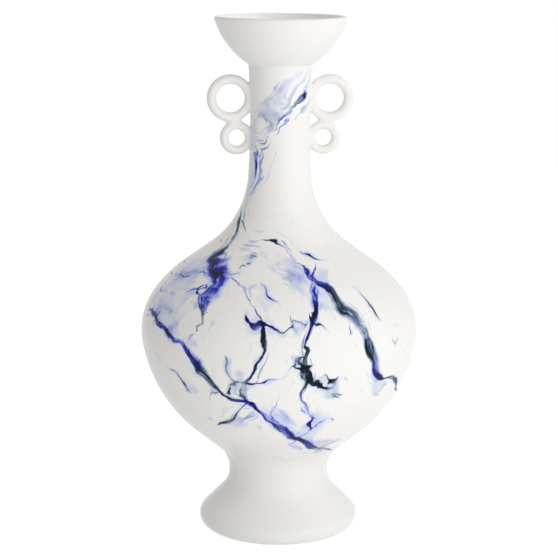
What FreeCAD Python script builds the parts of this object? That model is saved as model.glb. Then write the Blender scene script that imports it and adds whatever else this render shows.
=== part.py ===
import FreeCAD, Part
import math
import os
import Sketcher
from FreeCAD import Vector

# A tall glazed pottery vase, cast in one piece. A dish-shaped mouth stands on a slim, slightly
# waisted neck with two pairs of ring handles. Below are a round belly, a narrow waist and a
# spreading foot. Z is up, the vase's axis is Z, the rings lie on the X axis, and the origin is
# on the table under the middle of the foot. All sizes are in millimetres.

# Each driving size is set here once. Heights run from one place of the outline to the next,
# from the foot up. Every radius is that of the outside of the wall, and a curve is the radius
# of an arc of the outline.
DRIVING_SIZES = {
    # the foot, with a shallow hollow under it that leaves a ring to stand on
    "foot_radius": 93.2,
    "foot_edge_curve": 12.4,
    "foot_ring_width": 8.0,
    "foot_ring_edge": 1.2,
    "recess_depth": 4.0,
    "recess_slope": 1.6,
    "recess_corner": 2.0,
    # the waist between the foot and the belly
    "waist_radius": 58.1,
    "foot_to_waist": 67.4,
    "waist_lower_curve": 33.9,
    "waist_upper_curve": 40.8,
    # the belly: one curve at its widest, and a flatter one below and above it
    "belly_radius": 161.0,
    "waist_to_belly": 170.3,
    "belly_curve": 77.2,
    "side_curve": 170.3,
    "side_angle": 9.2,
    "shoulder_curve": 138.5,
    "shoulder_angle": 35.7,
    # the neck, narrowest about half way up, and the hollow curve at its root
    "neck_radius": 34.3,
    "belly_to_neck": 244.2,
    "neck_curve": 924.0,
    "neck_below": 63.8,
    "neck_above": 63.8,
    "root_curve": 106.0,
    # the dish of the mouth
    "mouth_radius": 75.4,
    "dish_depth": 54.3,
    "dish_curve": 96.4,
    "crease_blend": 2.6,
    "throat_blend": 4.0,
    # the wall, as thick all over as slip casting leaves it
    "wall": 5.5,
    "floor_corner": 3.0,
    # the ring handles, each sunk a little into the neck and into the other ring
    "ring_rise": 25.5,
    "large_ring_curve": 21.6,
    "large_ring_thickness": 10.8,
    "large_ring_seat": 4.6,
    "small_ring_curve": 14.3,
    "small_ring_thickness": 9.8,
    "small_ring_seat": 3.9,
    "ring_overlap": 0.4,
    "ring_blend": 3.2,
    "handle_blend": 2.0,
}

# An arc of the outline takes at most this share of the largest radius that its neighbours
# leave room for, so that a straight stretch remains between a hollow arc and a round one.
ROOM = 0.96

# What follows from the driving sizes, worked out by the sheet itself.
DERIVED_SIZES = {
    "waist_height": "foot_to_waist",
    "belly_height": "waist_height + waist_to_belly",
    "neck_height": "belly_height + belly_to_neck",
    "dish_height": "neck_height + neck_above",
    "vase_height": "dish_height + dish_depth",
    "contact_radius": "foot_radius - foot_edge_curve",
    "ring_inner_radius": "contact_radius - foot_ring_width",
    "recess_radius": "ring_inner_radius - recess_slope",
    "floor_height": "recess_depth + wall",
    # the lower arc of the waist, which a straight flare joins to the edge of the foot
    "flare_x": "foot_radius - waist_radius",
    "flare_z": "foot_to_waist - foot_edge_curve",
    "lower_room": "(flare_x ^ 2 + flare_z ^ 2) / (2 * flare_x) - foot_edge_curve",
    "lower_arc": f"min(waist_lower_curve; {ROOM} * lower_room)",
    # the side of the belly, which starts below the widest place and points at the waist
    "side_x": "belly_radius - belly_curve * (1 - cos(side_angle))",
    "side_z": "belly_height - belly_curve * sin(side_angle)",
    "side_dx": "side_x - waist_radius",
    "side_dz": "side_z - waist_height",
    "side_inset": "side_dx * cos(side_angle) - side_dz * sin(side_angle)",
    "side_bend": "2 * side_inset / (side_dx ^ 2 + side_dz ^ 2)",
    "side_arc": f"1 / max(1 / side_curve; side_bend / {ROOM})",
    "side_centre_x": "side_x - side_arc * cos(side_angle)",
    "side_centre_z": "side_z + side_arc * sin(side_angle)",
    # the upper arc of the waist, which a straight flank joins to the side of the belly
    "flank_dx": "waist_radius - side_centre_x",
    "flank_dz": "waist_height - side_centre_z",
    "upper_room": "(flank_dx ^ 2 + flank_dz ^ 2 - side_arc ^ 2) / (2 * (side_arc - flank_dx))",
    "upper_arc": f"min(waist_upper_curve; {ROOM} * upper_room)",
    # where the neck leans in from its root and out to the dish
    "root_height": "neck_height - neck_below",
    "root_lean": "asin(neck_below / neck_curve)",
    "root_x": "neck_radius + neck_curve * (1 - cos(root_lean))",
    "dish_lean": "asin(neck_above / neck_curve)",
    # the shoulder, which starts above the widest place and points at the root of the neck
    "shoulder_x": "belly_radius - belly_curve * (1 - cos(shoulder_angle))",
    "shoulder_z": "belly_height + belly_curve * sin(shoulder_angle)",
    "shoulder_dx": "shoulder_x - root_x",
    "shoulder_dz": "root_height - shoulder_z",
    "shoulder_inset": "shoulder_dx * cos(shoulder_angle) - shoulder_dz * sin(shoulder_angle)",
    "shoulder_bend": "2 * shoulder_inset / (shoulder_dx ^ 2 + shoulder_dz ^ 2)",
    "shoulder_arc": f"1 / max(1 / shoulder_curve; shoulder_bend / {ROOM})",
    "shoulder_centre_x": "shoulder_x - shoulder_arc * cos(shoulder_angle)",
    "shoulder_centre_z": "shoulder_z - shoulder_arc * sin(shoulder_angle)",
    # the hollow arc at the root of the neck, which a straight slope joins to the shoulder
    "slope_dx": "root_x - shoulder_centre_x",
    "slope_dz": "root_height - shoulder_centre_z",
    "slope_reach": "slope_dx * cos(root_lean) + slope_dz * sin(root_lean)",
    "slope_span": "slope_dx ^ 2 + slope_dz ^ 2 - shoulder_arc ^ 2",
    "root_arc": f"min(root_curve; {ROOM} * slope_span / (2 * (shoulder_arc - slope_reach)))",
    # the centres of the rings: both sunk into the neck, and the small one into the large one
    "large_ring_reach": "large_ring_curve + large_ring_thickness / 2",
    "small_ring_reach": "small_ring_curve + small_ring_thickness / 2",
    "ring_lean": "asin(ring_rise / neck_curve)",
    "ring_wall_x": "neck_radius + neck_curve * (1 - cos(ring_lean))",
    "large_ring_x": "ring_wall_x - large_ring_seat + large_ring_reach",
    "large_ring_z": "neck_height + ring_rise",
    "small_ring_x": "ring_wall_x - small_ring_seat + small_ring_reach",
    "ring_distance": "large_ring_reach + small_ring_reach - ring_overlap",
    "small_ring_z": "large_ring_z - sqrt(ring_distance ^ 2 - (large_ring_x - small_ring_x) ^ 2)",
}

# The corners of the wall that the clay and the glaze leave rounded, each named by the piece of
# the outline that starts there.
SOFT_CORNERS = [
    ("Crease", "dish", "sizes.crease_blend"),
    ("Throat", "bore", "sizes.throat_blend"),
    ("FloorCorner", "floor", "sizes.floor_corner"),
    ("RecessCorner", "recess side", "sizes.recess_corner"),
    ("FootRingEdge", "contact", "sizes.foot_ring_edge"),
]

# A point counts as lying on a surface when it is nearer to it than this.
TOUCH = 0.01


def fill_sheet(document):
    """Put every size in the sheet under its own name and return the sheet."""
    sheet = document.addObject("Spreadsheet::Sheet", "sizes")
    cells = {name: str(value) for name, value in DRIVING_SIZES.items()}
    cells.update({name: f"={formula}" for name, formula in DERIVED_SIZES.items()})
    for row, (name, content) in enumerate(cells.items(), start=1):
        sheet.set(f"A{row}", name)
        sheet.set(f"B{row}", content)
        sheet.setAlias(f"B{row}", name)
    document.recompute()
    return sheet


def reader(sheet):
    """A function that gives each size of the sheet as a plain number."""
    return lambda name: getattr(sheet.get(name), "Value", sheet.get(name))


def direction(degrees):
    """The unit vector at an angle from the sketch's own X axis."""
    turn = math.radians(degrees)
    return Vector(math.cos(turn), math.sin(turn), 0)


def crossing_normal(round_centre, round_arc, hollow_centre, hollow_arc, side):
    """The outward direction of the line that joins a round arc to a hollow one.

    The line has the round arc's centre on one side and the hollow arc's on the other. Side is
    1 where the hollow arc is above the round one and -1 where it is below.
    """
    between = hollow_centre - round_centre
    tilt = math.acos((round_arc + hollow_arc) / between.Length)
    return direction(math.degrees(math.atan2(between.y, between.x) - side * tilt))


def circles_meet(first_centre, first_radius, second_centre, second_radius):
    """The point where two circles meet, on the left of the way from the first to the second."""
    between = second_centre - first_centre
    distance = between.Length
    along = (first_radius ** 2 - second_radius ** 2 + distance ** 2) / (2 * distance)
    across = math.sqrt(first_radius ** 2 - along ** 2)
    step = between / distance
    return first_centre + step * along + Vector(-step.y, step.x, 0) * across


class Outline:
    """The closed outline of a sketch, drawn piece by piece from one point to the next."""

    def __init__(self, sketch, start):
        self.sketch = sketch
        self.point = start
        self.pieces = {}

    def line(self, name, last):
        """Draw a straight piece from the end of the one before."""
        index = self.sketch.addGeometry(Part.LineSegment(self.point, last), False)
        self.pieces[name] = {"index": index, "start": 1, "end": 2}
        self.point = last

    def arc(self, name, centre, last):
        """Draw the shorter arc about a centre, from the end of the piece before."""
        spoke = self.point - centre
        circle = Part.Circle(centre, Vector(0, 0, 1), spoke.Length)
        first_angle = math.atan2(spoke.y, spoke.x)
        last_angle = math.atan2(last.y - centre.y, last.x - centre.x)
        sweep = (last_angle - first_angle) % (2 * math.pi)
        if sweep < math.pi:
            geometry = Part.ArcOfCircle(circle, first_angle, first_angle + sweep)
            ends = {"start": 1, "end": 2}
        else:
            geometry = Part.ArcOfCircle(circle, last_angle, last_angle + 2 * math.pi - sweep)
            ends = {"start": 2, "end": 1}
        index = self.sketch.addGeometry(geometry, False)
        self.pieces[name] = {"index": index, "centre": 3, **ends}
        self.point = last

    def spot(self, name, where):
        """The sketch's own numbers for the start, end or centre of a piece."""
        piece = self.pieces[name]
        return piece["index"], piece[where]

    def start_of(self, name):
        """The point where a piece starts, as the sketch has solved it."""
        return self.sketch.getPoint(*self.spot(name, "start"))

    def join(self, kind, before, after):
        """Join two pieces end to start, as a corner or as one smooth line."""
        ends = self.spot(before, "end") + self.spot(after, "start")
        self.sketch.addConstraint(Sketcher.Constraint(kind, *ends))

    def share_centre(self, outer, inner):
        """Put the centre of an arc of the inside on that of the arc outside it."""
        centres = self.spot(outer, "centre") + self.spot(inner, "centre")
        self.sketch.addConstraint(Sketcher.Constraint("Coincident", *centres))

    def on_axis(self, axis, name, where):
        """Keep an end of a piece on the sketch's flat axis (-1) or upright axis (-2)."""
        self.sketch.addConstraint(Sketcher.Constraint("PointOnObject", *self.spot(name, where), axis))

    def radius(self, name, formula):
        """Tie the radius of an arc to the sheet."""
        index = self.pieces[name]["index"]
        constraint = Sketcher.Constraint("Radius", index, self.sketch.Geometry[index].Radius)
        self.sketch.setExpression(f"Constraints[{self.sketch.addConstraint(constraint)}]", formula)

    def place(self, name, where, across=None, up=None):
        """Tie the distance across or the height of a point of a piece to the sheet."""
        spot = self.spot(name, where)
        now = self.sketch.getPoint(*spot)
        for kind, value, formula in (("DistanceX", now.x, across), ("DistanceY", now.y, up)):
            if formula:
                constraint = Sketcher.Constraint(kind, -1, 1, *spot, value)
                number = self.sketch.addConstraint(constraint)
                self.sketch.setExpression(f"Constraints[{number}]", formula)


def new_sketch(body, name):
    """A sketch of a body on its upright plane through the front and the back."""
    sketch = body.newObject("Sketcher::SketchObject", name)
    plane = next(item for item in body.Origin.OriginFeatures if item.Role == "YZ_Plane")
    sketch.AttachmentSupport = [(plane, "")]
    sketch.MapMode = "FlatFace"
    return sketch


def draw_wall(body, size):
    """Sketch the section of the wall: up the outside, over the lip and down the inside."""
    wall = size("wall")
    waist = Vector(size("waist_radius"), size("waist_height"), 0)
    foot_centre = Vector(size("contact_radius"), size("foot_edge_curve"), 0)
    lower_centre = waist + Vector(size("lower_arc"), 0, 0)
    upper_centre = waist + Vector(size("upper_arc"), 0, 0)
    side_centre = Vector(size("side_centre_x"), size("side_centre_z"), 0)
    belly_centre = Vector(size("belly_radius") - size("belly_curve"), size("belly_height"), 0)
    shoulder_centre = Vector(size("shoulder_centre_x"), size("shoulder_centre_z"), 0)
    neck_centre = Vector(size("neck_radius") + size("neck_curve"), size("neck_height"), 0)
    root_normal = direction(size("root_lean"))
    root_centre = neck_centre + root_normal * (size("root_arc") - size("neck_curve"))
    lip_centre = Vector(size("mouth_radius") - wall / 2, size("vase_height") - wall / 2, 0)
    neck_top = neck_centre - direction(-size("dish_lean")) * size("neck_curve")
    dish_centre = circles_meet(neck_top, size("dish_curve"), lip_centre, size("dish_curve") - wall / 2)
    rim_normal = (lip_centre - dish_centre).normalize()
    throat = circles_meet(neck_centre, size("neck_curve") + wall, dish_centre, size("dish_curve") - wall)

    # the outward direction at each place where one curve of the outside goes over to the next
    flare_normal = crossing_normal(
        foot_centre, size("foot_edge_curve"), lower_centre, size("lower_arc"), 1)
    flank_normal = crossing_normal(
        side_centre, size("side_arc"), upper_centre, size("upper_arc"), -1)
    slope_normal = crossing_normal(
        shoulder_centre, size("shoulder_arc"), root_centre, size("root_arc"), 1)
    side_normal = direction(-size("side_angle"))
    shoulder_normal = direction(size("shoulder_angle"))

    # those places on the outside, and across the wall from them on the inside
    places = {
        "flare low": (foot_centre, size("foot_edge_curve"), flare_normal),
        "flare high": (lower_centre, -size("lower_arc"), flare_normal),
        "waist": (lower_centre, -size("lower_arc"), direction(0)),
        "flank low": (upper_centre, -size("upper_arc"), flank_normal),
        "flank high": (side_centre, size("side_arc"), flank_normal),
        "side": (belly_centre, size("belly_curve"), side_normal),
        "shoulder": (belly_centre, size("belly_curve"), shoulder_normal),
        "slope low": (shoulder_centre, size("shoulder_arc"), slope_normal),
        "slope high": (root_centre, -size("root_arc"), slope_normal),
        "root": (root_centre, -size("root_arc"), root_normal),
    }
    outside = {name: centre + normal * arc for name, (centre, arc, normal) in places.items()}
    inside = {name: centre + normal * (arc - wall) for name, (centre, arc, normal) in places.items()}

    sketch = new_sketch(body, "WallSection")
    shape = Outline(sketch, Vector(size("ring_inner_radius"), 0, 0))

    # the outside, from the foot up to the crest of the lip
    shape.line("contact", Vector(size("contact_radius"), 0, 0))
    shape.arc("foot edge", foot_centre, outside["flare low"])
    shape.line("flare", outside["flare high"])
    shape.arc("waist lower", lower_centre, outside["waist"])
    shape.arc("waist upper", upper_centre, outside["flank low"])
    shape.line("flank", outside["flank high"])
    shape.arc("side", side_centre, outside["side"])
    shape.arc("belly", belly_centre, outside["shoulder"])
    shape.arc("shoulder", shoulder_centre, outside["slope low"])
    shape.line("slope", outside["slope high"])
    shape.arc("root", root_centre, outside["root"])
    shape.arc("neck", neck_centre, neck_top)
    shape.arc("dish", dish_centre, lip_centre + rim_normal * (wall / 2))
    shape.arc("lip outside", lip_centre, lip_centre + direction(90) * (wall / 2))

    # the inside, from the lip down to the floor
    floor_drop = size("floor_height") - size("foot_edge_curve")
    inner_edge = size("foot_edge_curve") - wall
    floor_edge = size("contact_radius") + math.sqrt(inner_edge ** 2 - floor_drop ** 2)
    shape.arc("lip inside", lip_centre, lip_centre - rim_normal * (wall / 2))
    shape.arc("bowl", dish_centre, throat)
    shape.arc("bore", neck_centre, inside["root"])
    shape.arc("root inside", root_centre, inside["slope high"])
    shape.line("slope inside", inside["slope low"])
    shape.arc("shoulder inside", shoulder_centre, inside["shoulder"])
    shape.arc("belly inside", belly_centre, inside["side"])
    shape.arc("side inside", side_centre, inside["flank high"])
    shape.line("flank inside", inside["flank low"])
    shape.arc("waist upper inside", upper_centre, inside["waist"])
    shape.arc("waist lower inside", lower_centre, inside["flare high"])
    shape.line("flare inside", inside["flare low"])
    shape.arc("foot inside", foot_centre, Vector(floor_edge, size("floor_height"), 0))

    # the floor, and the shallow hollow under it
    shape.line("floor", Vector(0, size("floor_height"), 0))
    shape.line("middle", Vector(0, size("recess_depth"), 0))
    shape.line("recess", Vector(size("recess_radius"), size("recess_depth"), 0))
    shape.line("recess side", Vector(size("ring_inner_radius"), 0, 0))

    names = list(shape.pieces)
    after_a_corner = {"dish", "bore", "floor", "middle", "recess", "recess side", "contact"}
    for before, after in zip(names, names[1:] + names[:1]):
        shape.join("Coincident" if after in after_a_corner else "Tangent", before, after)

    shape.share_centre("foot edge", "foot inside")
    shape.share_centre("waist lower", "waist lower inside")
    shape.share_centre("waist upper", "waist upper inside")
    shape.share_centre("side", "side inside")
    shape.share_centre("belly", "belly inside")
    shape.share_centre("shoulder", "shoulder inside")
    shape.share_centre("root", "root inside")
    shape.share_centre("neck", "bore")
    shape.share_centre("dish", "bowl")
    shape.share_centre("lip outside", "lip inside")

    shape.on_axis(-1, "contact", "start")
    shape.place("contact", "start", across="sizes.ring_inner_radius")
    shape.place("foot edge", "centre", "sizes.contact_radius", "sizes.foot_edge_curve")
    shape.radius("foot edge", "sizes.foot_edge_curve")
    shape.place("waist lower", "centre", "sizes.waist_radius + sizes.lower_arc", "sizes.waist_height")
    shape.place("waist lower", "end", up="sizes.waist_height")
    shape.radius("waist lower", "sizes.lower_arc")
    shape.radius("waist upper", "sizes.upper_arc")
    shape.radius("side", "sizes.side_arc")
    shape.place("belly", "centre", "sizes.belly_radius - sizes.belly_curve", "sizes.belly_height")
    shape.place("belly", "start", up="sizes.side_z")
    shape.place("belly", "end", up="sizes.shoulder_z")
    shape.radius("belly", "sizes.belly_curve")
    shape.radius("shoulder", "sizes.shoulder_arc")
    shape.radius("root", "sizes.root_arc")
    shape.place("neck", "centre", "sizes.neck_radius + sizes.neck_curve", "sizes.neck_height")
    shape.place("neck", "start", up="sizes.root_height")
    shape.place("neck", "end", up="sizes.dish_height")
    shape.radius("neck", "sizes.neck_curve")
    shape.radius("dish", "sizes.dish_curve")
    lip_across = "sizes.mouth_radius - sizes.wall / 2"
    shape.place("lip outside", "centre", lip_across, "sizes.vase_height - sizes.wall / 2")
    shape.place("lip outside", "end", across=lip_across)
    shape.radius("lip outside", "sizes.wall / 2")
    shape.radius("bore", "sizes.neck_curve + sizes.wall")
    shape.radius("shoulder inside", "sizes.shoulder_arc - sizes.wall")
    shape.radius("waist upper inside", "sizes.upper_arc + sizes.wall")
    shape.radius("foot inside", "sizes.foot_edge_curve - sizes.wall")
    shape.place("floor", "start", up="sizes.floor_height")
    shape.place("floor", "end", up="sizes.floor_height")
    shape.on_axis(-2, "floor", "end")
    shape.place("middle", "end", up="sizes.recess_depth")
    shape.on_axis(-2, "middle", "end")
    shape.place("recess", "end", "sizes.recess_radius", "sizes.recess_depth")
    return shape


def turn_wall(body, sketch):
    """Turn the section of the wall about the vase's axis."""
    wall = body.newObject("PartDesign::Revolution", "Wall")
    wall.Profile = sketch
    wall.ReferenceAxis = (sketch, ["V_Axis"])
    wall.Angle = 360
    body.Document.recompute()
    return wall


def round_edges(body, name, base, chosen, formula):
    """Round the chosen edges of the shape so far and return the new feature."""
    edges = [f"Edge{number}" for number, edge in enumerate(base.Shape.Edges, start=1) if chosen(edge)]
    fillet = body.newObject("PartDesign::Fillet", name)
    fillet.Base = (base, edges)
    fillet.setExpression("Radius", formula)
    body.Document.recompute()
    print(name, len(edges), "edges")
    return fillet


def on_circle(place):
    """A test for the edge that a point of the wall's section draws round the axis."""
    def test(edge):
        points = [vertex.Point for vertex in edge.Vertexes]
        return all(math.isclose(math.hypot(point.x, point.y), place.x, abs_tol=TOUCH)
                   and math.isclose(point.z, place.y, abs_tol=TOUCH) for point in points)
    return test


def add_ring(body, name, size, side):
    """Turn a round cord of clay into a ring whose axis runs from the front to the back.

    The section is drawn at the top of the ring (side 1) or at its bottom (side -1), away from
    the other ring, so that no seam crosses a blend.
    """
    sketch = new_sketch(body, f"{name.title()}RingSection")
    across = size(f"{name}_ring_thickness") / 2
    height = size(f"{name}_ring_z")
    middle = Vector(0, height + side * size(f"{name}_ring_curve"), 0)
    pin = sketch.addGeometry(Part.LineSegment(Vector(-across, height, 0), Vector(across, height, 0)), True)
    cord = sketch.addGeometry(Part.Circle(middle, Vector(0, 0, 1), across), False)
    half_thickness = f"sizes.{name}_ring_thickness / 2"
    bound = [
        (Sketcher.Constraint("DistanceX", pin, 1, -1, 1, across), half_thickness),
        (Sketcher.Constraint("DistanceX", -1, 1, pin, 2, across), half_thickness),
        (Sketcher.Constraint("DistanceY", -1, 1, pin, 1, height), f"sizes.{name}_ring_z"),
        (Sketcher.Constraint("DistanceY", -1, 1, cord, 3, middle.y),
         f"sizes.{name}_ring_z + {side} * sizes.{name}_ring_curve"),
        (Sketcher.Constraint("Radius", cord, across), half_thickness),
    ]
    sketch.addConstraint(Sketcher.Constraint("Horizontal", pin))
    sketch.addConstraint(Sketcher.Constraint("PointOnObject", cord, 3, -2))
    for constraint, formula in bound:
        sketch.setExpression(f"Constraints[{sketch.addConstraint(constraint)}]", formula)
    sketch.setExpression("AttachmentOffset.Base.z", f"sizes.{name}_ring_x")
    ring = body.newObject("PartDesign::Revolution", f"{name.title()}Ring")
    ring.Profile = sketch
    ring.ReferenceAxis = (sketch, ["Axis0"])
    ring.Angle = 360
    body.Document.recompute()
    return ring


def mirror(body, features):
    """Repeat the rings on the other side of the neck."""
    mirrored = body.newObject("PartDesign::Mirrored", "FarRings")
    plane = next(item for item in body.Origin.OriginFeatures if item.Role == "YZ_Plane")
    mirrored.Originals = features
    mirrored.MirrorPlane = (plane, [""])
    body.Tip = mirrored
    body.Document.recompute()
    return mirrored


def on_ring(name, size):
    """A test for points on the skin of this ring or of its twin on the other side."""
    def test(point):
        out = math.hypot(abs(point.x) - size(f"{name}_ring_x"), point.z - size(f"{name}_ring_z"))
        depth = math.hypot(out - size(f"{name}_ring_curve"), point.y)
        return math.isclose(depth, size(f"{name}_ring_thickness") / 2, abs_tol=TOUCH)
    return test


def on_neck(size):
    """A test for points on the outside of the neck."""
    def test(point):
        hollow = size("neck_radius") + size("neck_curve") - math.hypot(point.x, point.y)
        reach = math.hypot(hollow, point.z - size("neck_height"))
        return math.isclose(reach, size("neck_curve"), abs_tol=TOUCH)
    return test


def between(first, second):
    """A test for edges that lie on both of two surfaces."""
    def test(edge):
        points = edge.discretize(5)
        return all(first(point) and second(point) for point in points)
    return test


document = FreeCAD.newDocument("Vase")
sheet = fill_sheet(document)
size = reader(sheet)
vase = document.addObject("PartDesign::Body", "Vase")
vase.Label = "vase"
document.recompute()

section = draw_wall(vase, size)
shape = turn_wall(vase, section.sketch)
for name, corner, formula in SOFT_CORNERS:
    shape = round_edges(vase, name, shape, on_circle(section.start_of(corner)), formula)
large_ring = add_ring(vase, "large", size, 1)
small_ring = add_ring(vase, "small", size, -1)
shape = mirror(vase, [large_ring, small_ring])
rings_meet = between(on_ring("large", size), on_ring("small", size))
shape = round_edges(vase, "RingBlend", shape, rings_meet, "sizes.ring_blend")
for name in ("large", "small"):
    seat = between(on_ring(name, size), on_neck(size))
    shape = round_edges(vase, f"{name.title()}HandleBlend", shape, seat, "sizes.handle_blend")
document.recompute()

for item in document.Objects:
    if "Invalid" in item.State or "Error" in item.State:
        raise RuntimeError(f"{item.Label} could not be made: {item.State}")
if vase.Shape.isNull() or not vase.Shape.isValid():
    raise RuntimeError("the vase has no valid shape")

os.makedirs("parts", exist_ok=True)
vase.Shape.exportStep(f"parts/{vase.Label}.step")
box = vase.Shape.optimalBoundingBox(False, False)
print("size", round(box.XLength, 2), round(box.YLength, 2), round(box.ZLength, 2))
print("solids", len(vase.Shape.Solids), "clay", round(vase.Shape.Volume / 1000), "cm3")
print("open sketches", [item.Name for item in document.Objects
                        if item.isDerivedFrom("Sketcher::SketchObject") and not item.FullyConstrained])
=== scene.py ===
# %% [markdown]
# # A tall vase of glazed pottery
#
# The vase is one piece of slip-cast pottery: a spreading foot, a narrow waist, a round belly, a
# slim neck with two pairs of ring handles, and a mouth like a dish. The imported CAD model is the
# fixed frame. This script gives it a fine skin with even normals, a satin white glaze with a
# marbled decoration in blue inks, and a plain studio to be looked at in. The sizes of the
# pottery are in millimetres, as a potter writes them, and all other lengths are in metres.

# %% Load the frame
import math

import bpy
import numpy as np
from mathutils import Matrix, Vector


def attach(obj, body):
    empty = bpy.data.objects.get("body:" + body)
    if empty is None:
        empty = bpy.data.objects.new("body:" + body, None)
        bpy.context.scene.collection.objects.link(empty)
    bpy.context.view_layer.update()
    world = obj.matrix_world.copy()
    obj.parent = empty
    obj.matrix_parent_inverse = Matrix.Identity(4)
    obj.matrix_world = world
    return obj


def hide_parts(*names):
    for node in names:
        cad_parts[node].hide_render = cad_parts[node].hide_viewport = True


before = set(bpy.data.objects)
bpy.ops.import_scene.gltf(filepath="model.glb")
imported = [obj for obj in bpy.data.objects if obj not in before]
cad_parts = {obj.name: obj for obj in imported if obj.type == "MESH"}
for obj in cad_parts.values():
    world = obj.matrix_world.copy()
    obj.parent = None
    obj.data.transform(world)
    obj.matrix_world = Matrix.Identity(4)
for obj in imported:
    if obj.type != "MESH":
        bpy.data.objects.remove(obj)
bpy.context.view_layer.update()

MM = 0.001


def put_in_scene(name, data):
    """Make an object of this data and put it in the scene."""
    new = bpy.data.objects.new(name, data)
    bpy.context.scene.collection.objects.link(new)
    return new


# %% [markdown]
# ## The camera
#
# The photograph looks a little down on the vase from two metres away, through a long lens. A
# camera could be placed by eye, but here its distance, height and tilt come from how the round
# mouth and foot show as ellipses, and its small turn to the left from the rings, because the
# ring that is nearer shows lower. It leans by a third of a degree, as the photograph does.

# %% Camera
CAMERA_DISTANCE, CAMERA_HEIGHT = 1.9475, 0.6919
CAMERA_TILT_DOWN = math.radians(11.503)
CAMERA_TURN = math.radians(6.1)
CAMERA_LEAN = math.radians(0.31)
SENSOR_WIDTH, LENS = 36, 109.83
SHIFT_X, SHIFT_Y = -0.0004, 0.0009

camera_data = bpy.data.cameras.new("camera")
camera_data.sensor_width = SENSOR_WIDTH
camera_data.lens = LENS
camera_data.shift_x, camera_data.shift_y = SHIFT_X, SHIFT_Y
camera = put_in_scene("camera", camera_data)
camera.location = (-CAMERA_DISTANCE * math.sin(CAMERA_TURN),
                   -CAMERA_DISTANCE * math.cos(CAMERA_TURN), CAMERA_HEIGHT)
camera.rotation_mode = "QUATERNION"
turn = Matrix.Rotation(-CAMERA_TURN, 4, "Z")
tilt = Matrix.Rotation(math.pi / 2 - CAMERA_TILT_DOWN, 4, "X")
lean = Matrix.Rotation(CAMERA_LEAN, 4, "Z")
camera.rotation_quaternion = (turn @ tilt @ lean).to_quaternion()
bpy.context.scene.camera = camera
bpy.context.scene.view_settings.view_transform = "Standard"
print("camera at", [round(value, 3) for value in camera.location])

# %% [markdown]
# ## The section of the wall
#
# A potter's template is the section of the wall on one side of the axis. The section could be
# traced as a list of points, but a list of arcs keeps its curves clean, and each point of an
# arc knows which way the surface faces there. Every arc here has a centre, a radius and two
# facings. The radius is negative where the surface is hollow. Points of the section are complex
# numbers: the real part runs out from the axis, and the imaginary part runs up.

# %% Arcs and how they meet
def facing(degrees):
    """The unit step that faces this many degrees up from level."""
    return complex(math.cos(math.radians(degrees)), math.sin(math.radians(degrees)))


def angle_of(step):
    """The degrees above level of a step."""
    return math.degrees(math.atan2(step.imag, step.real))


def tangent_facing(round_centre, round_radius, hollow_centre, hollow_radius, side):
    """Which way the straight run between a round arc and a hollow arc faces."""
    between = hollow_centre - round_centre
    opening = math.acos((round_radius + hollow_radius) / abs(between))
    return angle_of(between) - side * math.degrees(opening)


def circles_meet(first_centre, first_radius, second_centre, second_radius):
    """Where two circles meet, on the left of the way from the first to the second."""
    between = second_centre - first_centre
    along = (first_radius ** 2 - second_radius ** 2 + abs(between) ** 2) / (2 * abs(between))
    aside = math.sqrt(first_radius ** 2 - along ** 2)
    return first_centre + between / abs(between) * complex(along, aside)


# %% Sizes of the vase
FOOT_RADIUS, FOOT_EDGE, FOOT_RING_WIDTH, FOOT_RING_EDGE = 93.2, 12.4, 8.0, 1.2
RECESS_DEPTH, RECESS_SLOPE, RECESS_CORNER, FLOOR_CORNER = 4.0, 1.6, 2.0, 3.0
WAIST_RADIUS, WAIST_HEIGHT, WAIST_LOWER_CURVE, WAIST_UPPER_CURVE = 58.1, 67.4, 33.9, 40.8
BELLY_RADIUS, BELLY_HEIGHT, BELLY_CURVE = 161.0, 237.7, 77.2
SIDE_CURVE, SIDE_ANGLE, SHOULDER_CURVE, SHOULDER_ANGLE = 170.3, 9.2, 138.5, 35.7
NECK_RADIUS, NECK_HEIGHT, NECK_CURVE, NECK_HALF, ROOT_CURVE = 34.3, 481.9, 924.0, 63.8, 106.0
MOUTH_RADIUS, HEIGHT, DISH_CURVE, CREASE_BLEND, THROAT_BLEND = 75.4, 600.0, 96.4, 2.6, 4.0
WALL = 5.5
print("vase", HEIGHT, "mm high, belly", 2 * BELLY_RADIUS, "across, neck", 2 * NECK_RADIUS)

# %% Centres of the arcs
foot = complex(FOOT_RADIUS - FOOT_EDGE, FOOT_EDGE)
waist_lower = complex(WAIST_RADIUS + WAIST_LOWER_CURVE, WAIST_HEIGHT)
waist_upper = complex(WAIST_RADIUS + WAIST_UPPER_CURVE, WAIST_HEIGHT)
belly = complex(BELLY_RADIUS - BELLY_CURVE, BELLY_HEIGHT)
side = belly - facing(-SIDE_ANGLE) * (SIDE_CURVE - BELLY_CURVE)
shoulder = belly - facing(SHOULDER_ANGLE) * (SHOULDER_CURVE - BELLY_CURVE)
neck = complex(NECK_RADIUS + NECK_CURVE, NECK_HEIGHT)
neck_lean = math.degrees(math.asin(NECK_HALF / NECK_CURVE))
root = neck + facing(neck_lean) * (ROOT_CURVE - NECK_CURVE)
lip = complex(MOUTH_RADIUS - WALL / 2, HEIGHT - WALL / 2)
neck_top = neck - facing(-neck_lean) * NECK_CURVE
dish = circles_meet(neck_top, DISH_CURVE, lip, DISH_CURVE - WALL / 2)
crease = circles_meet(neck, NECK_CURVE - CREASE_BLEND, dish, DISH_CURVE + CREASE_BLEND)
throat = circles_meet(neck, NECK_CURVE + WALL - THROAT_BLEND,
                      dish, DISH_CURVE - WALL + THROAT_BLEND)
floor_height = RECESS_DEPTH + WALL
corner_height = floor_height + FLOOR_CORNER
corner_reach = FOOT_EDGE - WALL - FLOOR_CORNER
corner_out = math.sqrt(corner_reach ** 2 - (corner_height - FOOT_EDGE) ** 2)
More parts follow.
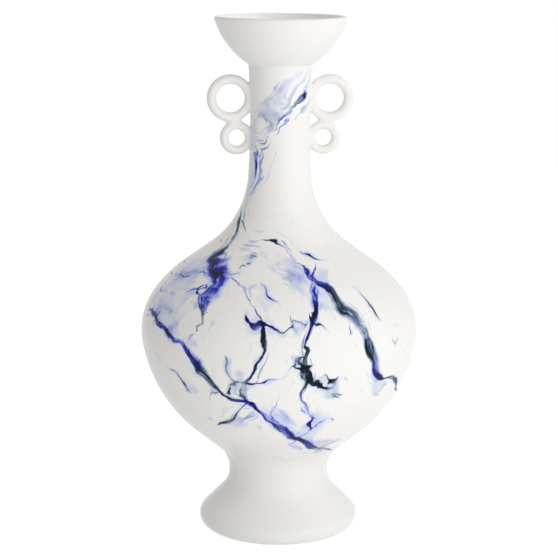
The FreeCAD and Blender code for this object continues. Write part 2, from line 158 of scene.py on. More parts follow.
floor_end = complex(foot.real + corner_out, corner_height)
print("dish about", dish, "root about", root)

# %% The section as arcs, from the hollow under the foot to the floor inside
recess_face = angle_of(complex(-RECESS_DEPTH, -RECESS_SLOPE)) % 360
recess_out = RECESS_SLOPE / RECESS_DEPTH
recess_height = RECESS_DEPTH - RECESS_CORNER
contact_inside = FOOT_RADIUS - FOOT_EDGE - FOOT_RING_WIDTH
sideways = 1 / math.cos(math.radians(recess_face))
recess_fillet = complex(
    contact_inside - recess_out * recess_height + RECESS_CORNER * sideways, recess_height)
ring_fillet = complex(
    contact_inside - recess_out * FOOT_RING_EDGE - FOOT_RING_EDGE * sideways, FOOT_RING_EDGE)
flare = tangent_facing(foot, FOOT_EDGE, waist_lower, WAIST_LOWER_CURVE, 1)
flank = tangent_facing(side, SIDE_CURVE, waist_upper, WAIST_UPPER_CURVE, -1)
slope = tangent_facing(shoulder, SHOULDER_CURVE, root, ROOT_CURVE, 1)
crease_low, crease_high = angle_of(neck - crease), angle_of(crease - dish)
rim = angle_of(lip - dish)
throat_high, throat_low = angle_of(dish - throat) % 360, angle_of(throat - neck) % 360
floor_turn = angle_of(foot - floor_end) % 360

OUTSIDE_ARCS = [
    (recess_fillet, -RECESS_CORNER, 270, recess_face),
    (ring_fillet, FOOT_RING_EDGE, recess_face, 270),
    (foot, FOOT_EDGE, -90, flare),
    (waist_lower, -WAIST_LOWER_CURVE, flare, 0),
    (waist_upper, -WAIST_UPPER_CURVE, 0, flank),
    (side, SIDE_CURVE, flank, -SIDE_ANGLE),
    (belly, BELLY_CURVE, -SIDE_ANGLE, SHOULDER_ANGLE),
    (shoulder, SHOULDER_CURVE, SHOULDER_ANGLE, slope),
    (root, -ROOT_CURVE, slope, neck_lean),
    (neck, -NECK_CURVE, neck_lean, crease_low),
    (crease, -CREASE_BLEND, crease_low, crease_high),
    (dish, DISH_CURVE, crease_high, rim),
    (lip, WALL / 2, rim, 90),
]
INSIDE_ARCS = [
    (lip, WALL / 2, 90, rim + 180),
    (dish, WALL - DISH_CURVE, rim + 180, throat_high),
    (throat, THROAT_BLEND, throat_high, throat_low),
    (neck, NECK_CURVE + WALL, throat_low, neck_lean + 180),
    (root, ROOT_CURVE + WALL, neck_lean + 180, slope + 180),
    (shoulder, WALL - SHOULDER_CURVE, slope + 180, SHOULDER_ANGLE + 180),
    (belly, WALL - BELLY_CURVE, SHOULDER_ANGLE + 180, 180 - SIDE_ANGLE),
    (side, WALL - SIDE_CURVE, 180 - SIDE_ANGLE, flank + 180),
    (waist_upper, WAIST_UPPER_CURVE + WALL, flank + 180, 180),
    (waist_lower, WAIST_LOWER_CURVE + WALL, 180, flare + 180),
    (foot, WALL - FOOT_EDGE, flare + 180, floor_turn),
    (floor_end, -FLOOR_CORNER, floor_turn, 90),
]
print(len(OUTSIDE_ARCS), "arcs outside and", len(INSIDE_ARCS), "inside")

# %% Points along the arcs
# The inside shows less, so it takes longer steps, in millimetres, and larger turns, in degrees.
OUTSIDE_STEP, OUTSIDE_TURN = 3.2, 10
INSIDE_STEP, INSIDE_TURN = 8, 18
FLOOR_STEP = 9
ROUNDING = 1e-9


def spread(first, last, step):
    """Points from the first up to, but not with, the last, at most a step apart."""
    count = max(1, math.ceil(abs(last - first) / step - ROUNDING))
    return [first + (last - first) * share / count for share in range(count)]


def walk(points, arcs, step, turn):
    """Follow the arcs and the straight runs between them, and add their points."""
    for centre, radius, start, end in arcs:
        points += spread(points.pop(), centre + radius * facing(start), step)
        angle_step = min(turn, math.degrees(step / abs(radius)))
        points += [centre + radius * facing(angle) for angle in spread(start, end, angle_step)]
        points.append(centre + radius * facing(end))
    return points


middle_below, middle_inside = complex(0, RECESS_DEPTH), complex(0, floor_height)
section = walk([middle_below], OUTSIDE_ARCS, OUTSIDE_STEP, OUTSIDE_TURN)
section = walk(section, INSIDE_ARCS, INSIDE_STEP, INSIDE_TURN)
section += spread(section.pop(), middle_inside, FLOOR_STEP) + [middle_inside]
section = [point for point, after in zip(section, section[1:] + [None]) if point != after]
print("section of", len(section), "points, widest", round(max(p.real for p in section), 2))

# %% [markdown]
# ## Sums written as sums
#
# A tree of nodes is hard to read once it holds more than a few sums. So one small class stands
# for the output of a node, and Python's own signs add the Math nodes: wire * 2 + 1 becomes two
# nodes. Any other node comes from one function, which sets its options first and its inputs
# next. A wire as an input makes a link, and a plain number or colour is set on the node.

# %% Wire
class Wire:
    """The output of a node, which Python's signs can work on."""

    def __init__(self, tree, socket):
        self.tree, self.socket = tree, socket

    def maths(self, operation, *values):
        return node(self.tree, "ShaderNodeMath", {"operation": operation}, dict(enumerate(values)))

    def __add__(self, other):
        return self.maths("ADD", self, other)

    def __radd__(self, other):
        return self.maths("ADD", other, self)

    def __sub__(self, other):
        return self.maths("SUBTRACT", self, other)

    def __rsub__(self, other):
        return self.maths("SUBTRACT", other, self)

    def __mul__(self, other):
        return self.maths("MULTIPLY", self, other)

    def __rmul__(self, other):
        return self.maths("MULTIPLY", other, self)

    def __truediv__(self, other):
        return self.maths("DIVIDE", self, other)

    def __rtruediv__(self, other):
        return self.maths("DIVIDE", other, self)

    def __pow__(self, other):
        return self.maths("POWER", self, other)

    def __rpow__(self, other):
        return self.maths("POWER", other, self)

    def __abs__(self):
        return self.maths("ABSOLUTE", self)

    def least(self, other):
        return self.maths("MINIMUM", self, other)

    def most(self, other):
        return self.maths("MAXIMUM", self, other)

    def whole(self):
        return self.maths("FLOOR", self)

    def sine(self):
        return self.maths("SINE", self)

    def cosine(self):
        return self.maths("COSINE", self)

    def rise(self, low, high):
        """0 below the low value, 1 above the high one, and a soft rise between them."""
        return node(self.tree, "ShaderNodeMapRange", {"interpolation_type": "SMOOTHSTEP"},
                    {"Value": self, "From Min": low, "From Max": high})


# %% Any other node
def node(tree, kind, settings=None, values=None, output=0):
    """Add a node with its settings and its inputs, and give one of its outputs, if it has any."""
    new = tree.nodes.new(kind)
    for name, value in (settings or {}).items():
        if name == "stops":
            set_stops(new.color_ramp.elements, value)
        else:
            setattr(new, name, value)
    for name, value in (values or {}).items():
        for part in value if isinstance(value, list) else [value]:
            if isinstance(part, Wire):
                tree.links.new(part.socket, new.inputs[name])
            else:
                new.inputs[name].default_value = part
    return Wire(tree, new.outputs[output]) if new.outputs else None


def set_stops(elements, stops):
    """Give a ramp these stops of place and colour."""
    for _ in stops[2:]:
        elements.new(1)
    for element, (place, colour) in zip(elements, stops):
        element.position, element.color = place, (*colour, 1)


def empty_tree(owner):
    """Give a material or a world an empty tree."""
    owner.use_nodes = True
    owner.node_tree.nodes.clear()
    return owner.node_tree


# %% [markdown]
# ## Throwing the body
#
# The body is a section turned about the axis, as on a wheel. The Screw modifier or Blender's
# Spin could do that. Here Geometry Nodes do it: each column of a plain grid takes its points
# from the section, at its own angle. The first and last columns meet in a seam, and the first
# and last rows at the axis, so the points that meet there are merged.
#
# ## The ring handles
#
# On each side of the neck, a large ring stands on a small one. A potter rolls a cord of clay,
# bends it into a ring and lutes it on. The rings could be torus primitives, but a circle swept
# along a circle keeps the bend and the cord as two sizes of the tree. A Boolean joins them to
# the neck, so that the vase is one closed skin, as the real one is.

# %% The sizes of the rings
RING_RISE, RING_OVERLAP = 25.5, 0.4
LARGE_CURVE, LARGE_THICKNESS, LARGE_SEAT = 21.6, 10.8, 4.6
SMALL_CURVE, SMALL_THICKNESS, SMALL_SEAT = 14.3, 9.8, 3.9
RING_PARTS = ("X", "Z", "Curve", "Cord")

large_reach = LARGE_CURVE + LARGE_THICKNESS / 2
small_reach = SMALL_CURVE + SMALL_THICKNESS / 2
ring_wall = NECK_RADIUS + NECK_CURVE - math.sqrt(NECK_CURVE ** 2 - RING_RISE ** 2)
large_x, large_z = ring_wall - LARGE_SEAT + large_reach, NECK_HEIGHT + RING_RISE
small_x = ring_wall - SMALL_SEAT + small_reach
apart = large_reach + small_reach - RING_OVERLAP
small_z = large_z - math.sqrt(apart ** 2 - (large_x - small_x) ** 2)
RINGS = {"large": (large_x, large_z, LARGE_CURVE, LARGE_THICKNESS / 2),
         "small": (small_x, small_z, SMALL_CURVE, SMALL_THICKNESS / 2)}
print("rings at", {name: [round(value, 3) for value in ring] for name, ring in RINGS.items()})

# %% The inputs of the tree
INPUTS = {"Section": "Geometry", "Columns": "Int", "Ring Segments": "Int", "Cord Segments": "Int"}
INPUTS |= {f"{size} Ring {part}": "Float" for size in ("Large", "Small") for part in RING_PARTS}
INPUTS |= {"Material": "Material"}

wheel = bpy.data.node_groups.new("thrown_body_with_rings", "GeometryNodeTree")
for name, kind in INPUTS.items():
    wheel.interface.new_socket(name, in_out="INPUT", socket_type=f"NodeSocket{kind}")
wheel.interface.new_socket("Vase", in_out="OUTPUT", socket_type="NodeSocketGeometry")
given = wheel.nodes.new("NodeGroupInput")
asked = {socket.name: Wire(wheel, socket) for socket in given.outputs if socket.name}
print("the tree asks for", list(asked))

# %% The body, thrown
MERGE_DISTANCE = 0.00002

rows = node(wheel, "GeometryNodeAttributeDomainSize", {}, {"Geometry": asked["Section"]})
seam = asked["Columns"] + 1
grid = node(wheel, "GeometryNodeMeshGrid", {}, {"Vertices X": rows, "Vertices Y": seam})
index = node(wheel, "GeometryNodeInputIndex")
row = ((index + 0.5) / seam).whole()
column = index - row * seam
position = node(wheel, "GeometryNodeInputPosition")
on_section = node(wheel, "GeometryNodeSampleIndex", {"data_type": "FLOAT_VECTOR"},
                  {"Geometry": asked["Section"], "Value": position, "Index": row})
radius = node(wheel, "ShaderNodeSeparateXYZ", {}, {0: on_section})
height = node(wheel, "ShaderNodeSeparateXYZ", {}, {0: on_section}, output=2)
angle = (column + 0.5) / asked["Columns"] * math.tau
around = node(wheel, "ShaderNodeCombineXYZ", {},
              {"X": radius * angle.cosine(), "Y": radius * angle.sine(), "Z": height})
turned = node(wheel, "GeometryNodeSetPosition", {}, {"Geometry": grid, "Position": around})
closed = node(wheel, "GeometryNodeMergeByDistance", {},
              {"Geometry": turned, "Distance": MERGE_DISTANCE})
thrown = node(wheel, "GeometryNodeFlipFaces", {}, {"Mesh": closed})
print("tree of", len(wheel.nodes), "nodes so far")

# %% The rings, bent and joined
parts = [thrown]
for name in ("Large", "Small"):
    bend = node(wheel, "GeometryNodeCurvePrimitiveCircle", {},
                {"Resolution": asked["Ring Segments"], "Radius": asked[f"{name} Ring Curve"]})
    cord = node(wheel, "GeometryNodeCurvePrimitiveCircle", {},
                {"Resolution": asked["Cord Segments"], "Radius": asked[f"{name} Ring Cord"]})
    ring = node(wheel, "GeometryNodeCurveToMesh", {}, {"Curve": bend, "Profile Curve": cord})
    for hand in (1, -1):
        spot = node(wheel, "ShaderNodeCombineXYZ", {},
                    {"X": asked[f"{name} Ring X"] * hand, "Z": asked[f"{name} Ring Z"]})
        parts.append(node(wheel, "GeometryNodeTransform", {},
                          {"Geometry": ring, "Translation": spot, "Rotation": (math.pi / 2, 0, 0)}))
joined = node(wheel, "GeometryNodeMeshBoolean", {"operation": "UNION", "solver": "MANIFOLD"},
              {"Mesh 2": parts})
realized = node(wheel, "GeometryNodeRealizeInstances", {}, {"Geometry": joined})
finished = node(wheel, "GeometryNodeSetMaterial", {},
                {"Geometry": realized, "Material": asked["Material"]})
node(wheel, "NodeGroupOutput", {}, {"Vase": finished})
print("tree of", len(wheel.nodes), "nodes")

# %% Throw it
COLUMNS, RING_SEGMENTS, CORD_SEGMENTS = 160, 96, 40

section_mesh = bpy.data.meshes.new("section")
section_mesh.from_pydata([(point.real * MM, 0, point.imag * MM) for point in section], [], [])
section_object = put_in_scene("section", section_mesh)

glaze = bpy.data.materials.new("white_glaze")
wanted = {"Columns": COLUMNS, "Ring Segments": RING_SEGMENTS, "Cord Segments": CORD_SEGMENTS,
          "Material": glaze}
for name, ring in RINGS.items():
    for part, value in zip(RING_PARTS, ring):
        wanted[f"{name.title()} Ring {part}"] = value * MM
modifier = section_object.modifiers.new("thrown", "NODES")
modifier.node_group = wheel
for item in wheel.interface.items_tree:
    if item.name in wanted:
        modifier[item.identifier] = wanted[item.name]
bpy.context.view_layer.update()
evaluated = section_object.evaluated_get(bpy.context.evaluated_depsgraph_get())
vase_mesh = bpy.data.meshes.new_from_object(evaluated)
vase_mesh.name = "vase_skin"
bpy.data.objects.remove(section_object)
vase = put_in_scene("vase_skin", vase_mesh)
print("skin of", len(vase_mesh.vertices), "points and", len(vase_mesh.polygons), "faces")

# %% [markdown]
# ## Soft joins
#
# Clay handles are luted on with slip, and the glaze fills the corners, so each join is a soft
# hollow. A bevel along the joins would trip over the small faces there. Instead, the distance
# to each form is written as a formula, the forms are blended by a formula as well, and the
# points near a join slide onto the blended form. Its slope then gives the exact normals, so
# that highlights run smoothly over the joins.

# %% Distances to the neck and the rings
RING_BLEND, HANDLE_BLEND = 5.0, 2.2


def to_neck(points):
    """The distance to the neck, which is hollow in its height and round about the axis."""
    hollow = NECK_RADIUS + NECK_CURVE - np.hypot(points[:, 0], points[:, 1])
    return NECK_CURVE - np.hypot(hollow, points[:, 2] - NECK_HEIGHT)


def to_ring(points, x, z, curve, cord):
    """The distance to a ring and to its mirror image on the other side of the neck."""
    across = np.hypot(np.abs(points[:, 0]) - x, points[:, 2] - z) - curve
    return np.hypot(across, points[:, 1]) - cord


def soft_union(first, second, blend):
    """The distance to two forms, with the corner between them filled by an arc."""
    room = np.hypot(np.maximum(blend - first, 0), np.maximum(blend - second, 0))
    return np.maximum(blend, np.minimum(first, second)) - room


def to_skin(points):
    """The distance to the neck and the rings, blended."""
    large, small = to_ring(points, *RINGS["large"]), to_ring(points, *RINGS["small"])
    return soft_union(to_neck(points), soft_union(large, small, RING_BLEND), HANDLE_BLEND)


def slope_of(distance, points, step=0.01):
    """How fast a distance grows along each axis."""
    moves = np.eye(3) * step
    rises = [distance(points + move) - distance(points - move) for move in moves]
    return np.stack(rises, 1) / (2 * step)


# %% Slide the points near the rings onto the blended form
JOIN_REACH, SLIDES, LEAST_SLOPE = 9, 8, 0.2

points = np.array([vertex.co for vertex in vase_mesh.vertices]) / MM
nearest = np.minimum(to_ring(points, *RINGS["large"]), to_ring(points, *RINGS["small"]))
near_rings = (nearest < JOIN_REACH) & (to_neck(points) > -WALL / 2)
moving = points[near_rings]
for _ in range(SLIDES):
    slopes = slope_of(to_skin, moving)
    steepness = np.maximum((slopes ** 2).sum(1), LEAST_SLOPE)
    moving -= slopes * (to_skin(moving) / steepness)[:, None]
farthest = np.abs(moving - points[near_rings]).max()
print("moved", near_rings.sum(), "points by up to", round(farthest, 2), "mm,",
      "now within", round(np.abs(to_skin(moving)).max(), 4), "mm of the form")
points[near_rings] = moving
vase_mesh.vertices.foreach_set("co", (points * MM).astype(np.float32).ravel())
vase_mesh.update()

# %% Normals, exact near the rings
vase_mesh.shade_smooth()
normals = np.array([vertex.normal for vertex in vase_mesh.vertices])
exact = slope_of(to_skin, moving)
normals[near_rings] = exact / np.linalg.norm(exact, axis=1)[:, None]
vase_mesh.normals_split_custom_set_from_vertices(normals.tolist())
print("triangles", sum(len(polygon.vertices) - 2 for polygon in vase_mesh.polygons))

# %% Put the skin in the place of the CAD vase
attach(vase, "root")
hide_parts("vase")
print(vase.name, "stands for the CAD vase")

# %% [markdown]
# ## The white glaze
#
# The vase was dipped in a thick white glaze. One flat white with a low roughness would look like
# plastic, because a fired glaze is never even. It pulls thin over an edge, where the warmer clay
# shows through, and it pools in a hollow. Its gloss changes a little from place to place, and it
# dries with a faint ripple. All of this is made from clouds of noise on the object's own places,
# in metres, so it stays where it is from every side.

# %% Tools for a finish
finish = empty_tree(glaze)
place = node(finish, "ShaderNodeTexCoord", output="Object")


def cloud(at, scale, detail=2, roughness=0.5, output="Fac"):
    """Soft noise about 0.5, with this many waves in a metre."""
    return node(finish, "ShaderNodeTexNoise", {},
                {"Vector": at, "Scale": scale, "Detail": detail, "Roughness": roughness}, output)


def vector(operation, *values, output="Vector"):
    """A sum on places or colours."""
    settings = {"operation": operation}
    return node(finish, "ShaderNodeVectorMath", settings, dict(enumerate(values)), output)


def mix(tree, factor, first, second):
    """The first colour where the factor is 0, and the second where it is 1."""
    values = {0: factor, 6: first, 7: second}
    return node(tree, "ShaderNodeMix", {"data_type": "RGBA"}, values, 2)


# %% Where the glaze is thick and where it is thin
# A pair gives where a mask starts to rise and where it is full, in metres up or out.
UNEVEN_WAVES = 60
LIP_WOBBLE, CREASE_WOBBLE, CREST_WOBBLE, FOOT_WOBBLE = 0.003, 0.004, 0.002, 0.0008
LIP_UP, CREASE_UP, CREASE_POOL = (0.5955, 0.6), 0.5455, (0.001, 0.007)
RINGS_FROM, RINGS_TO, NECK_OUT, RINGS_OUT = (0.43, 0.44), (0.54, 0.55), (0.04, 0.05), (0.09, 0.1)
CREST_FROM, CREST_THINNESS = 0.75, 0.7
BARE_UP, BARE_OUT = (0.0008, 0.0014), (0.07, 0.0705)

x, y, z = (node(finish, "ShaderNodeSeparateXYZ", {}, {0: place}, axis) for axis in "XYZ")
from_axis = (x * x + y * y) ** 0.5
uneven = cloud(place, UNEVEN_WAVES, 3) - 0.5
lip_thin = (z + uneven * LIP_WOBBLE).rise(*LIP_UP)
pooled = 1 - abs(z - CREASE_UP + uneven * CREASE_WOBBLE).rise(*CREASE_POOL)
across = node(finish, "ShaderNodeCombineXYZ", {}, {"X": abs(x), "Z": z})
crest = 0
for ring_x, ring_z, curve, cord in RINGS.values():
    from_centre = vector("DISTANCE", across, (ring_x * MM, 0, ring_z * MM), output="Value")
    from_centre = from_centre + uneven * CREST_WOBBLE
    crest = from_centre.rise((curve + cord * CREST_FROM) * MM, (curve + cord) * MM).most(crest)
crest = crest * (1 - from_axis.rise(*RINGS_OUT)) * z.rise(*RINGS_FROM) * (1 - z.rise(*RINGS_TO))
crest = crest * from_axis.rise(*NECK_OUT)
thin = lip_thin.most(crest * CREST_THINNESS)
biscuit = (1 - (z + uneven * FOOT_WOBBLE).rise(*BARE_UP)) * from_axis.rise(*BARE_OUT)
print("glaze masks use", len(finish.nodes), "nodes")

# %% [markdown]
# ## The marbled decoration
#
# Inks of cobalt blue and blue-black run through the glaze like veins in marble, and bleed into
# pale washes. A picture could be painted on, but a solid pattern needs no seam and wraps round
# the body. Each vein is a sheet that cuts the vase along a slant. Noise stirs the places first,
# at three sizes, so the cut wanders as wet ink does. The distance to the sheet gives the line,
# and the same distance, drawn out along the sheet, gives streaks that follow the flow. Thin
# threads branch off near a vein. They are the edges between the cells of a Voronoi pattern.

# %% Stir the places
# Each stir: how many waves in a metre, how far it pushes in metres, and how fine it is.
STIRS = [(5, 0.030, 2), (16, 0.011, 2), (70, 0.0022, 4)]
PUSH = 4
TONE_WAVES = 38
NECK_SHARE, NECK_TO_BELLY = 0.4, (0.03, 0.11)


def stirred(at, scale, reach, detail):
    """These places, pushed about by noise by up to about this many metres."""
    push = vector("SUBTRACT", cloud(at, scale, detail, output="Color"), (0.5, 0.5, 0.5))
    return vector("MULTIPLY_ADD", push, (reach * PUSH, reach * PUSH, reach * PUSH), at)


wet = place
for stir in STIRS:
    wet = stirred(wet, *stir)
tone = cloud(wet, TONE_WAVES, 3, 0.6)
slender = NECK_SHARE + from_axis.rise(*NECK_TO_BELLY) * (1 - NECK_SHARE)
print("stirred at", len(STIRS), "sizes")

# %% The veins, and how ink behaves
# Each vein: a place that it starts at, one that it ends at, how deep the sheet leans, its
# widest width, and how far its wash bleeds, all in metres but the lean.
VEINS = {
    "fall": ((0.040, -0.03, 0.560), (-0.125, -0.10, 0.265), 0.2, 0.0085, 0.045),
    "fork": ((-0.045, -0.06, 0.400), (0.150, -0.09, 0.160), -0.1, 0.0080, -0.040),
    "sweep": ((-0.170, -0.05, 0.300), (0.080, -0.06, 0.075), 0.1, 0.0090, 0.040),
    "drop": ((0.020, -0.10, 0.330), (0.015, -0.12, 0.150), 0.4, 0.0050, 0.025),
    "lean": ((-0.060, -0.12, 0.330), (-0.090, -0.10, 0.150), -0.5, 0.0045, -0.030),
    "back": ((-0.130, 0.06, 0.360), (0.120, 0.10, 0.190), 0.3, 0.0085, 0.040),
    "tail": ((0.050, 0.04, 0.420), (-0.060, 0.10, 0.120), -0.3, 0.0070, -0.035),
}
# Where a vein fades in and out, as shares of its run, and where its ends lose their ink.
FADE_IN, FADE_OUT, ENDS, OWN_SIDE = (-0.08, 0.1), (0.8, 1.08), (0, 0.2), (-0.012, 0.03)
STREAKS_ACROSS, STREAKS_ALONG, NOISE_PER_WIDTH = 260, 24, 1000
SWELL_WAVES, SWELL_FROM, SWELL_GAIN = 15, 0.36, 4
CORE, HAIRLINE, FRAY = 0.25, 0.0003, 0.009
INK, INK_STREAKS, INK_TONE, LEAST_INK, STREAK_MIDDLE = 0.60, 2.4, 1.6, 0.34, 0.44
HAIR, HAIR_REACH, HAIR_INK, NEAR = (0.58, 0.66), (0.004, 0.018), 0.45, (0.012, 0.06)
BLEED_EDGE, BLEED_END, DAMP_WAVES, DAMP = (-0.03, 0.05), (0.3, 1.1), 11, (0.46, 0.64)
WASH_STREAKS, WASH_RISE, WASH_INK, WASH_TONE = 1.1, (0.28, 0.54), 0.22, 1.1
print("veins", list(VEINS))


# %% Veins as slanting sheets
def vein(start, end, lean, width, bleed):
    """The ink of one vein, its wash, and how near a place is to it."""
    start, end = Vector(start), Vector(end)
    run = end - start
    sheet = run.cross(Vector((lean, 1, 0))).normalized()
    if sheet.z < 0:
        sheet = -sheet
    away = vector("DOT_PRODUCT", wet, tuple(sheet), output="Value") - sheet.dot(start)
    along = vector("DOT_PRODUCT", wet, tuple(run), output="Value") - run.dot(start)
    along = along / run.length_squared
    on_its_side = (y * math.copysign(1, start.y + end.y)).rise(*OWN_SIDE)
    reach = along.rise(*FADE_IN) * (1 - along.rise(*FADE_OUT)) * on_its_side
    stream = node(finish, "ShaderNodeCombineXYZ", {},
                  {"X": away * STREAKS_ACROSS, "Y": along * run.length * STREAKS_ALONG,
                   "Z": width * NOISE_PER_WIDTH})
    streaks = cloud(stream, 1, 3, 0.6)
    swell = cloud(vector("ADD", place, (start.z, 3, start.x)), SWELL_WAVES, 1)
    thick = ((swell - SWELL_FROM) * (width * SWELL_GAIN)).least(width) * slender * reach
    frayed = abs(away) + (streaks - 0.5) * FRAY
    ink = 1 - frayed.rise(thick * CORE, thick.most(HAIRLINE))
    depth = INK + (streaks - STREAK_MIDDLE) * INK_STREAKS + (tone - 0.5) * INK_TONE
    ink = ink * depth.most(LEAST_INK).least(1)
    hairs = streaks.rise(*HAIR) * (1 - abs(away).rise(*HAIR_REACH)) * HAIR_INK
    bled = (away / bleed).rise(*BLEED_EDGE) * (1 - (away / bleed).rise(*BLEED_END))
    damp = bled * cloud(place, DAMP_WAVES, 2).rise(*DAMP) + (streaks - 0.5) * WASH_STREAKS
    wash = damp.rise(*WASH_RISE) * (WASH_INK + (tone - 0.5) * WASH_TONE)
    near = (1 - abs(away).rise(*NEAR)) * reach
    return ink.most(hairs * near) * reach.rise(*ENDS), wash * reach, near


drawn = [vein(*sizes) for sizes in VEINS.values()]
ink, wash, near = drawn[0]
for more in drawn[1:]:
    ink, wash, near = ink.most(more[0]), wash.most(more[1]), near.most(more[2])
print(len(drawn), "veins drawn, with", len(finish.nodes), "nodes in all")

# %% Threads that branch off near a vein
# Widths are in metres, and a cell's edge distance is in cells, so they are times the cells.
CELLS = 13
TEAR = (11, 0.026, 4)
SWOLLEN_WAVES, SWOLLEN = 24, (0.42, 0.72)
THREAD_CORE, THREAD_EDGE, HALO_WOBBLE, HALO_EDGE, OPEN = 0.0006, 0.0030, 0.012, 0.011, 0.0001
THREAD_INK, THREAD_TONE, LEAST_THREAD, HALO_INK = 0.66, 2.6, 0.3, 0.26
THREAD_NEAR, THREAD_SWELL, THREAD_SLENDER = (0.4, 0.9), (0.02, 0.3), (0.4, 0.8)

torn = stirred(place, *TEAR)
edge = node(finish, "ShaderNodeTexVoronoi", {"feature": "DISTANCE_TO_EDGE"},
            {"Vector": torn, "Scale": CELLS})
swollen = cloud(place, SWOLLEN_WAVES, 1).rise(*SWOLLEN)
lines = 1 - edge.rise(swollen * (THREAD_CORE * CELLS), swollen * (THREAD_EDGE * CELLS) + OPEN)
wobbly_edge = edge + (tone - 0.5) * (HALO_WOBBLE * CELLS)
halo = (1 - wobbly_edge.rise(0, swollen * (HALO_EDGE * CELLS) + OPEN)) * HALO_INK
depth = (THREAD_INK + (tone - 0.5) * THREAD_TONE).most(LEAST_THREAD).least(1)
threads = (lines * depth).most(halo) * near.rise(*THREAD_NEAR)
threads = threads * swollen.rise(*THREAD_SWELL) * slender.rise(*THREAD_SLENDER)
print("threads between cells of", round(1 / CELLS, 3), "m")

# %% Where there is ink
# Ink stays on the outside, off the handles, and between the foot's edge and the dish.
OUTWARDS, HANDLES_OUT, HANDLES_UP = (0, 0.002), (0.0375, 0.039), (0.425, 0.435)
INK_TOP, INK_BASE = (0.537, 0.543), (0.02, 0.06)

facing_out = node(finish, "ShaderNodeTexCoord", output="Normal")
level_place = vector("MULTIPLY", place, (1, 1, 0))
outwards = vector("DOT_PRODUCT", facing_out, level_place, output="Value").rise(*OUTWARDS)
handles = from_axis.rise(*HANDLES_OUT) * z.rise(*HANDLES_UP)
painted = outwards * (1 - handles) * (1 - z.rise(*INK_TOP)) * z.rise(*INK_BASE)
density = ink.most(threads).most(wash) * painted
print("ink from", INK_BASE[0], "to", INK_TOP[1], "m up")

# %% Inks
WHITE, WARM_WHITE, COOL_WHITE = (0.86, 0.86, 0.85), (0.82, 0.79, 0.73), (0.80, 0.83, 0.83)
BISCUIT = (0.74, 0.68, 0.58)
COBALT_INK = [(0, WHITE), (0.25, (0.60, 0.66, 0.86)), (0.5, (0.20, 0.24, 0.72)),
              (0.68, (0.016, 0.020, 0.42)), (0.8, (0.004, 0.006, 0.11)),
              (0.9, (0.001, 0.002, 0.015))]
SLATE_INK = [(0, WHITE), (0.25, (0.57, 0.64, 0.76)), (0.5, (0.17, 0.25, 0.38)),
             (0.68, (0.03, 0.06, 0.11)), (0.8, (0.006, 0.012, 0.026)),
             (0.9, (0.001, 0.002, 0.005))]
ELSEWHERE, CHANGE_WAVES, CHANGE = (1, 2, 3), 14, (0.45, 0.55)
WARM_SHARE, COOL_SHARE = 0.35, 0.3

cobalt = node(finish, "ShaderNodeValToRGB", {"stops": COBALT_INK}, {"Fac": density})
slate = node(finish, "ShaderNodeValToRGB", {"stops": SLATE_INK}, {"Fac": density})
which = cloud(vector("ADD", wet, ELSEWHERE), CHANGE_WAVES, 2).rise(*CHANGE)
colour = mix(finish, which, cobalt, slate)
colour = mix(finish, thin * WARM_SHARE, colour, (*WARM_WHITE, 1))
colour = mix(finish, pooled * COOL_SHARE, colour, (*COOL_WHITE, 1))
colour = mix(finish, biscuit, colour, (*BISCUIT, 1))
print("ramps of", len(COBALT_INK), "and", len(SLATE_INK), "stops")

# %% The glaze shader
RIPPLE_WAVES, GRAIN_WAVES, GRAIN = 28, 420, 0.02
BUMP_STRENGTH, BUMP_HEIGHT = 0.35, 0.0012
SATIN, SATIN_WAVES, SATIN_CLOUDS, DISH_SATIN, DISH_UP = 0.27, 14, 0.10, 0.06, (0.545, 0.555)
BARE_ROUGHNESS = 0.6
GLAZE_IOR, GLAZE_SHINE = 1.4, 0.2

ripple = cloud(place, RIPPLE_WAVES, 2) + cloud(place, GRAIN_WAVES, 2) * GRAIN
gloss = SATIN + (cloud(place, SATIN_WAVES, 3) - 0.5) * SATIN_CLOUDS + z.rise(*DISH_UP) * DISH_SATIN
bump = node(finish, "ShaderNodeBump", {},
            {"Strength": BUMP_STRENGTH, "Distance": BUMP_HEIGHT, "Height": ripple})
shader = node(finish, "ShaderNodeBsdfPrincipled", {},
              {"Base Color": colour, "Roughness": gloss + biscuit * BARE_ROUGHNESS,
               "Normal": bump, "IOR": GLAZE_IOR, "Specular IOR Level": GLAZE_SHINE})
node(finish, "ShaderNodeOutputMaterial", {}, {"Surface": shader})
print("glaze of", len(finish.nodes), "nodes")

# %% [markdown]
# ## The studio
#
# A white vase on white needs soft light from one side, so that its round forms turn from light
# to a gentle grey. A tall soft box stands to the right, a low one in front lifts the hollow
# under the belly, and a small one hangs up on the right. A lamp with a snoot, a tube that leaves
# only a narrow beam, reaches into the dish. The rest is an even glow, a little warm and dimmer on
# the left. More light would turn the table white, but would burn out the glaze as well. So the
# table and the backdrop give off light of their own, as a light table does, and more of it where
# the eye sees them straight or in the gloss. The table gives the vase most light in front, near
# the lamps, and least behind it on the left, so that its shaded edges stay clear of the white.

# %% Backdrop
GLOW, GLOW_LEVEL, GLOW_TO_THE_RIGHT = (1, 0.963, 0.93, 1), 0.60, 0.08


def grey(level):
    return level, level, level, 1


def by_eye(tree):
    """1 for rays from the camera, and for those that gloss or glass sends on, else 0."""
    kinds = ("Camera", "Glossy", "Transmission")
    rays = [node(tree, "ShaderNodeLightPath", output=f"Is {kind} Ray") for kind in kinds]
    return rays[0].most(rays[1]).most(rays[2])


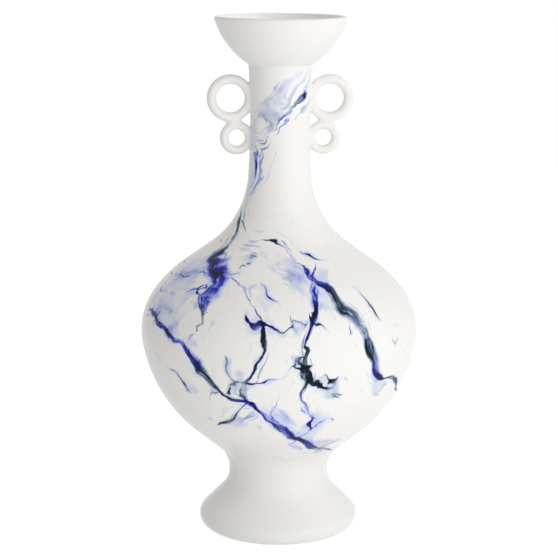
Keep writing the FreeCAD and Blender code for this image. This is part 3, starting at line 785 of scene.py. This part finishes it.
world = bpy.data.worlds.new("studio")
bpy.context.scene.world = world
sky = empty_tree(world)
heading = node(sky, "ShaderNodeTexCoord", output="Generated")
to_the_right = node(sky, "ShaderNodeSeparateXYZ", {}, {0: heading}, "X")
glow = node(sky, "ShaderNodeBackground", {},
            {"Color": GLOW, "Strength": GLOW_LEVEL + to_the_right * GLOW_TO_THE_RIGHT})
plain = node(sky, "ShaderNodeBackground", {}, {"Color": grey(1), "Strength": 1})
mixed = node(sky, "ShaderNodeMixShader", {}, {0: by_eye(sky), 1: glow, 2: plain})
node(sky, "ShaderNodeOutputWorld", {}, {"Surface": mixed})
print("backdrop of", len(sky.nodes), "nodes")

# %% Table
# The table lies a hair below the foot, so that the two faces don't fight for the same place.
TABLE_REACH, TABLE_HEIGHT = 3, -0.0002
PAPER, SEEN_LIGHT = grey(0.6), grey(0.7)
BEHIND_LIGHT, FRONT_LIGHT = grey(0.04), grey(0.55)
WAY_TO_LAMPS, BEHIND_TO_FRONT = (0.3, -0.95, 0), (-0.3, 0.45)

signs = ((-1, -1), (1, -1), (1, 1), (-1, 1))
corners = [(TABLE_REACH * right, TABLE_REACH * back, TABLE_HEIGHT) for right, back in signs]
floor_mesh = bpy.data.meshes.new("floor")
floor_mesh.from_pydata(corners, [], [(0, 1, 2, 3)])
floor = put_in_scene("floor", floor_mesh)
paper = bpy.data.materials.new("white_paper")
table = empty_tree(paper)
lit = node(table, "ShaderNodeBsdfDiffuse", {}, {"Color": PAPER})
spot = node(table, "ShaderNodeTexCoord", output="Object")
to_the_lamps = node(table, "ShaderNodeVectorMath", {"operation": "DOT_PRODUCT"},
                    {0: spot, 1: WAY_TO_LAMPS}, "Value")
own_light = mix(table, to_the_lamps.rise(*BEHIND_TO_FRONT), BEHIND_LIGHT, FRONT_LIGHT)
given_light = mix(table, by_eye(table), own_light, SEEN_LIGHT)
bright = node(table, "ShaderNodeEmission", {}, {"Color": given_light, "Strength": 1})
both = node(table, "ShaderNodeAddShader", {}, {0: lit, 1: bright})
node(table, "ShaderNodeOutputMaterial", {}, {"Surface": both})
floor_mesh.materials.append(paper)
print("table of", len(table.nodes), "nodes")

# %% Lamps
# Each soft box: its place, its aim, its width, its height and its power.
SOFT_BOXES = {
    "large_soft_box": ((1.30, -1.50, 1.15), (0, 0, 0.4), 0.8, 1.5, 10.0),
    "low_soft_box": ((0.45, -1.95, 0.26), (0, 0, 0.25), 1.2, 0.5, 4.4),
    "side_soft_box": ((1.1, 0.0, 1.6), (0, 0, 0.6), 0.7, 0.7, 2.2),
}
SNOOT_PLACE, SNOOT_AIM, SNOOT_POWER = (0.85, -0.57, 1.45), (-0.040, 0.035, 0.58), 16
SNOOT_BEAM, SNOOT_SOFT_EDGE, SNOOT_MOUTH = math.radians(5.6), 0.7, 0.03


def lamp(name, kind, place, aim, power):
    """Hang a lamp of this kind at a place, and point it at its aim."""
    data = bpy.data.lights.new(name, kind)
    data.energy = power
    hung = put_in_scene(name, data)
    hung.location = place
    hung.rotation_mode = "QUATERNION"
    hung.rotation_quaternion = (Vector(aim) - Vector(place)).to_track_quat("-Z", "Y")
    return data


for name, (stand, aim, width, tall, power) in SOFT_BOXES.items():
    box = lamp(name, "AREA", stand, aim, power)
    box.shape, box.size, box.size_y = "RECTANGLE", width, tall
snoot = lamp("dish_snoot", "SPOT", SNOOT_PLACE, SNOOT_AIM, SNOOT_POWER)
snoot.spot_size, snoot.spot_blend = SNOOT_BEAM, SNOOT_SOFT_EDGE
snoot.shadow_soft_size = SNOOT_MOUTH
print("lamps", list(SOFT_BOXES), "and a snoot")
